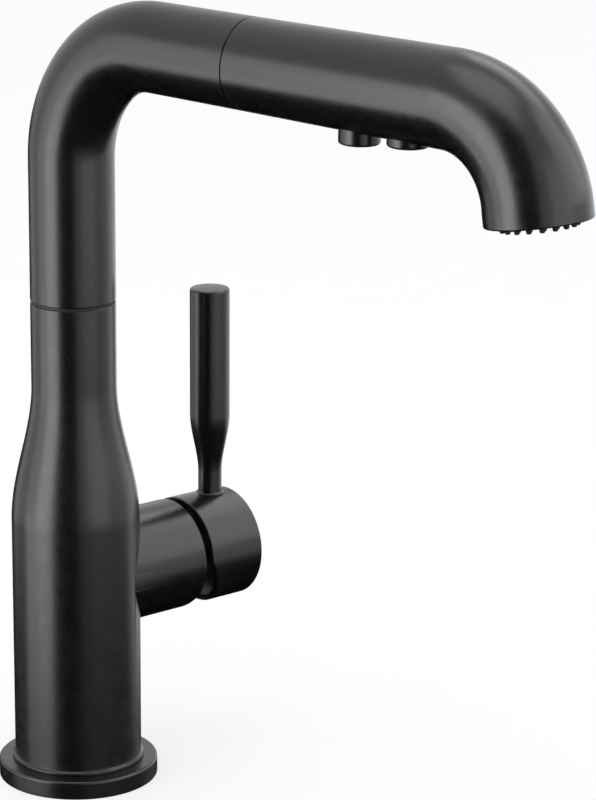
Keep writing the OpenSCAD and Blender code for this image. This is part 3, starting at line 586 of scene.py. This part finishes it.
# %% Buttons
BUTTON_LEN = 11
for node, place, depth in (("spray_button", down[0], BUTTON_1_DEPTH),
                           ("stream_button", down[1], BUTTON_1_DEPTH - BUTTON_TRAVEL)):
    inside = depth - BUTTON_LEN
    cap = soften([(0, inside), (BUTTON_R, inside, 1.4), (BUTTON_R, depth - 0.2, 0.9),
                  (BUTTON_R*0.6, depth - 0.04), (0, depth)], 7)
    dress("Cap_" + node, lathe(node, cap, place, 128), node)
print("two buttons")

# %% [markdown]
# The hub is a cup that swings about a pin inside the valve, so its back is hollow. The lever is a
# slim stem that swells into a straight grip. Where it enters the hub the coating pools into a
# small fillet.

# %% Handle
HOLLOW, HOLLOW_R, SCREW_HOLE_R = 8.2, BOSS_R - 2.05, 3.2
hub = soften([(0, HUB_X + HOLLOW), (HOLLOW_R, HUB_X + HOLLOW), (HOLLOW_R, HUB_X),
              (BOSS_R, HUB_X, 0.4), (BOSS_R, HUB_END, 0.5), (0, HUB_END)], 6)
HUB_LOW = BOSS_Z - BOSS_R
screw_hole = rod(SCREW_HOLE_R, HUB_LOW - 1, HUB_LOW + 3, shift(LEVER_X - 1, 0, 0), 64)
hub_cuts = [screw_hole, leaning_block(HUB_X, 1, 1)]
hub_mesh = combine(lathe("Hub", hub, BOSS, 192), hub_cuts, "DIFFERENCE")
hub_piece = dress("Hub", hub_mesh, "handle_hub")
TAPER_LO, TAPER_HI, TAPER_STEPS, COLLAR, COLLAR_Z = 103.6, 125.7, 30, 0.9, 95.35
grip = [(0, 84), (STEM_R + COLLAR, 94.6)]
grip += [(STEM_R + COLLAR*(1 - sin(15*k)), COLLAR_Z + COLLAR*(1 - cos(15*k))) for k in range(7)]
grip += [(STEM_R + (LEVER_R - STEM_R)*ease(k/TAPER_STEPS),
          TAPER_LO + (TAPER_HI - TAPER_LO)*k/TAPER_STEPS) for k in range(TAPER_STEPS + 1)]
lever_end = soften([(LEVER_R, 150), (LEVER_R, LEVER_TOP - 0.35, 0.9),
                    (LEVER_R/2, LEVER_TOP - 0.1)], 7)
grip += [(LEVER_R, 140)] + lever_end[1:] + [(0, LEVER_TOP)]
lever_piece = dress("Lever", lathe("Lever", grip, shift(LEVER_X, 0, 0), 128), "lever")
print(f"hub {len(hub_piece.data.polygons)} faces, lever {len(lever_piece.data.polygons)} faces")

# %% [markdown]
# The spray face is a soft silicone mat whose nozzles poke through a nylon plate, so lime can be
# rubbed off with a thumb. Each nozzle is its own little turned tip with a collar and a water hole.

# %% Spray face
FACE_R, HOLE_R, BACK_Z = HEAD_R - 2.3, 5.6, 1.7
FACE_Z, MAT_Z, NOZZLE_LO = TAIL - 0.4, TAIL - 0.7, TAIL - 0.75
plate = soften([(HOLE_R, BACK_Z), (FACE_R, BACK_Z), (FACE_R, FACE_Z, 0.5), (FACE_R - 1.6, FACE_Z),
                (FACE_R - 2, MAT_Z), (6.4, MAT_Z), (6.1, FACE_Z), (HOLE_R, FACE_Z)], 5)
dress("SprayPlate", lathe("SprayPlate", plate, HEAD, 128, True), "spray_plate")
tip = [(0, NOZZLE_LO), (1.5, NOZZLE_LO), (1.5, FACE_Z), (1.3, TAIL - 0.2), (1, TAIL - 0.1),
       (0.95, TAIL + 1.2), (0.85, TAIL + 1.65), (0.6, TAIL + 1.88), (0.35, TAIL + 1.9),
       (0.28, TAIL + 1.2), (0, TAIL + 1.2)]
NOZZLE_RINGS = ((18, 12, 0), (12, 8.6, 15))      # how many, radius, turned by so many degrees
mat_points, mat_faces = [], []
for count, radius, offset in NOZZLE_RINGS:
    for i in range(count):
        spot = turn(360/count*i + offset, "Z") @ shift(radius, 0, 0)
        nozzle = lathe("tip", tip, Matrix(), 24)
        base = len(mat_points)
        mat_points += [spot @ (v.co/MM) for v in nozzle.vertices]
        mat_faces += [[base + v for v in face.vertices] for face in nozzle.polygons]
        bpy.data.meshes.remove(nozzle)
disc = lathe("disc", [(0, 0.1), (FACE_R - 0.2, 0.1), (FACE_R - 0.2, 1.6), (0, 1.6)], Matrix(), 96)
base = len(mat_points)
mat_points += [v.co/MM for v in disc.vertices]
mat_faces += [[base + v for v in face.vertices] for face in disc.polygons]
mat = dress("NozzleMat", mesh_of("NozzleMat", mat_points, mat_faces, HEAD, angle=50), "nozzle_mat")
print(f"{sum(ring[0] for ring in NOZZLE_RINGS)} nozzles, {len(mat.data.polygons)} faces")

# %% [markdown]
# Below the deck the shank has a real thread of 1.5 mm pitch. A lathe can't make a helix, so each
# ring is a little further round the wave than the last: the radius is a triangle wave of height
# and angle together.

# %% Threaded shank
def threaded(name, r, bore, z0, z1, pitch, depth, sides=96, lead=1.5):
    """A tube with a thread outside. The thread fades in and out over lead mm."""
    rows = int((z1 - z0)/pitch*6)
    points = []
    for j in range(rows + 1):
        z = z0 + (z1 - z0)*j/rows
        fade = min(1, (z - z0)/lead, (z1 - z)/lead)
        for k in range(sides):
            wave = abs((z/pitch + k/sides) % 1 - 0.5)*2
            root = r - depth*(1 - max(0, min(1, wave*1.4 - 0.2)))*(fade if z > 0 else 1)
            root -= max(0, 1 - (z - z0)/lead)*depth
            points.append((root*cos(360*k/sides), root*sin(360*k/sides), z))
    count = rows + 1
    for z in (z1, z0):
        points += [(bore*cos(360*k/sides), bore*sin(360*k/sides), z) for k in range(sides)]
    faces = []
    for j in range(count + 1):
        for k in range(sides):
            n = (k + 1) % sides
            faces.append((j*sides + k, j*sides + n, (j + 1)*sides + n, (j + 1)*sides + k))
    last = (count + 1)*sides
    faces += [(last + k, last + (k + 1) % sides, (k + 1) % sides, k) for k in range(sides)]
    return mesh_of(name, points, faces, Matrix(), angle=40)


shank = dress("Shank", threaded("Shank", 16.5, 14.3, -60, 12, 1.5, 0.8), "mounting_shank")
print(f"shank thread {len(shank.data.polygons)} faces")

# %% [markdown]
# The spray hose is made in three lengths, one on each body that carries it, swept at full
# roundness so that its braid follows the bends.

# %% Spray hose
HOSE_R, HOSE_BORE, HOSE_X, HOSE_BEND = 5.5, 3.9, -8.2, 60
HOSE_LO, LEAN_LO, HOSE_HI = -73, 88, 176.5              # the length in the body
SPOUT_HOSE_LO, WAND_HOSE_LO, WAND_HOSE_LEN = 178.5, -65, 49
lean = math.degrees(math.acos(1 - abs(HOSE_X)/(2*HOSE_BEND)))


def hose(name, node, path, place):
    wall = [(u, v, h, HOSE_BORE) for u, v, h, r in path]
    return dress(name, sweep(name, path, wall, place, 48, 40), node)


path = [(0, HOSE_LO + (LEAN_LO - HOSE_LO)*k/24, 0, HOSE_R) for k in range(25)]
first = arc((0, LEAN_LO, 0), HOSE_BEND, lean, 12, HOSE_R, HOSE_R)
second = arc(first[-1][:3], -HOSE_BEND, -lean, 12, HOSE_R, HOSE_R)
hose("HoseLower", "hose_lower", path + first + second + [(-HOSE_X, HOSE_HI, 0, HOSE_R)],
     shift(HOSE_X, 0, 0) @ turn(90, "Z"))
path = [(0, SPOUT_HOSE_LO + (bend_z - SPOUT_HOSE_LO)*k/8, 0, HOSE_R) for k in range(9)]
path += arc((0, bend_z, 0), BEND_R1, SPLIT - 5, 16, HOSE_R, HOSE_R)
hose("HoseUpper", "hose_upper", path, SPOUT)
path = [(0, WAND_HOSE_LO + WAND_HOSE_LEN*k/10, 0, HOSE_R) for k in range(11)]
hose("HoseFront", "hose_front", path, ARM)
print("three lengths of hose")

# %% [markdown]
# The stage is a plain pale floor at deck height. The floor keeps the faucet's soft shadow, and
# the world is white to the camera and to reflections, so the background stays clean.

# %% Floor and world
def seen_directly(tree):
    """1 for camera, glossy and transmission rays, and 0 for the light that surfaces gather."""
    path = add(tree, "LightPath")
    both = add(tree, "Math", {"operation": "MAXIMUM"}, i0=path.outputs["Is Camera Ray"],
               i1=path.outputs["Is Glossy Ray"])
    return add(tree, "Math", {"operation": "MAXIMUM"}, i0=both.outputs[0],
               i1=path.outputs["Is Transmission Ray"]).outputs[0]


floor_mesh = bpy.data.meshes.new("Floor")
floor_mesh.from_pydata([(-4, -4, 0), (4, -4, 0), (4, 4, 0), (-4, 4, 0)], [], [(0, 1, 2, 3)])
floor = bpy.data.objects.new("Floor", floor_mesh)
bpy.context.scene.collection.objects.link(floor)
floor.visible_glossy = False      # reflections see the cards and cloths that stand beyond it
paper, tree, shader = new_finish("Matt white paper")
tree.links.new(two_tones(tree, grain(tree, size_mm=30), "#f4f4f4", "#f8f8f8"),
               shader.inputs["Base Color"])
shader.inputs["Roughness"].default_value = 0.9
glow = add(tree, "Emission", Color=linear("#ffffff"), Strength=1.0)
part_seen = add(tree, "Math", {"operation": "MULTIPLY"}, i0=seen_directly(tree), i1=0.7)
mixed = add(tree, "MixShader", i0=part_seen.outputs[0], i1=shader.outputs[0], i2=glow.outputs[0])
tree.links.new(mixed.outputs[0], tree.nodes["Material Output"].inputs["Surface"])
floor_mesh.materials.append(paper)
world = bpy.data.worlds.new("Studio")
bpy.context.scene.world = world
world.use_nodes = True
tree = world.node_tree
tree.nodes.clear()
ambient = add(tree, "Background", Color=linear("#ffffff"), Strength=0.9)
white = add(tree, "Background", Color=linear("#ffffff"), Strength=1.0)
either = add(tree, "MixShader", i0=seen_directly(tree), i1=ambient.outputs[0], i2=white.outputs[0])
tree.links.new(either.outputs[0], add(tree, "OutputWorld").inputs["Surface"])
print("floor and world")

# %% [markdown]
# A gentle overhead lamp grounds the faucet with a soft shadow. The Standard view shows each colour
# about as it is written.

# %% Lamp
lamp_data = bpy.data.lights.new("Overhead soft box", "AREA")
lamp_data.shape, lamp_data.size, lamp_data.size_y, lamp_data.energy = "RECTANGLE", 1.2, 1.2, 8
lamp = bpy.data.objects.new("Overhead soft box", lamp_data)
lamp.location = (-0.3, -0.2, 1.7)
lamp.rotation_euler = (Vector((0, -0.05, 0.1)) - lamp.location).to_track_quat("-Z", "Y").to_euler()
bpy.context.scene.collection.objects.link(lamp)
lamp.visible_camera = False
bpy.context.scene.view_settings.view_transform = "Standard"
print("one lamp")

# %% [markdown]
# Black needs shaped light, so the shape comes from cards round the faucet. Bright ones on the left
# draw the broad grey band down each tube, weaker ones on the right lift the shade, and high ones
# behind brighten the top of the handle. Black cloths stand beside the camera, behind on the left
# and under the set, where the dark parts of the reflections should be. Only reflections meet the
# cards and cloths, and they are part of the stage.

# %% Cards and cloths
def around(bearing, distance, z):
    """A point at a bearing in degrees from the camera's side, positive to its right."""
    a = AZIMUTH + math.radians(bearing)
    return (math.sin(a)*distance, -math.cos(a)*distance, z)


def panel(name, points, finish):
    mesh = bpy.data.meshes.new(name)
    mesh.from_pydata(points, [], [range(len(points))])
    mesh.materials.append(finish)
    piece = bpy.data.objects.new(name, mesh)
    bpy.context.scene.collection.objects.link(piece)
    piece.visible_camera = piece.visible_shadow = piece.visible_diffuse = False


def glowing(name, strength):
    made, tree, shader = new_finish(name)
    light = add(tree, "Emission", Color=linear("#ffffff"), Strength=strength)
    tree.links.new(light.outputs[0], tree.nodes["Material Output"].inputs["Surface"])
    made.cycles.emission_sampling = "NONE"
    return made


def standing(name, start, stop, distance, low, high, finish):
    corners = [around(start, distance, low), around(stop, distance, low),
               around(stop, distance, high), around(start, distance, high)]
    panel(name, corners, finish)


velvet, tree, shader = new_finish("Black velvet")
tree.links.new(two_tones(tree, grain(tree, size_mm=20), "#050505", "#070707"),
               shader.inputs["Base Color"])
shader.inputs["Roughness"].default_value = 1
shader.inputs["Specular IOR Level"].default_value = 0
# name, bearing from and to, distance, height from and to, strength of the glow
CARDS = (("LeftCard", -71, -40, 1.1, -0.34, 0.75, 5.3),
         ("FarLeftCard", -97, -71, 1.1, -0.08, 0.75, 2.4),
         ("LowLeftCard", -97, -71, 1.1, -0.36, -0.08, 3.2),
         ("RightCard", 28, 66, 1.5, -0.2, 1.1, 2),
         ("HighRightCard", 60, 110, 1.4, 0.3, 2.1, 2.6),
         ("HighBackCard", 110, 170, 1.4, 1.2, 2.4, 3.2),
         ("BackRightCard", 110, 165, 1.5, -0.44, 0.7, 1.4))
for name, start, stop, distance, low, high, strength in CARDS:
    standing(name, start, stop, distance, low, high, glowing(name + " light", strength))
standing("CameraCloth", -33, 9, 1, -0.44, 1.2, velvet)
standing("BackLeftCloth", -178, -140, 1.5, -0.44, 0.15, velvet)
panel("FloorCloth", [around(k*10, 1.7, -0.45) for k in range(36)], velvet)
print(f"{len(CARDS)} cards and three cloths")
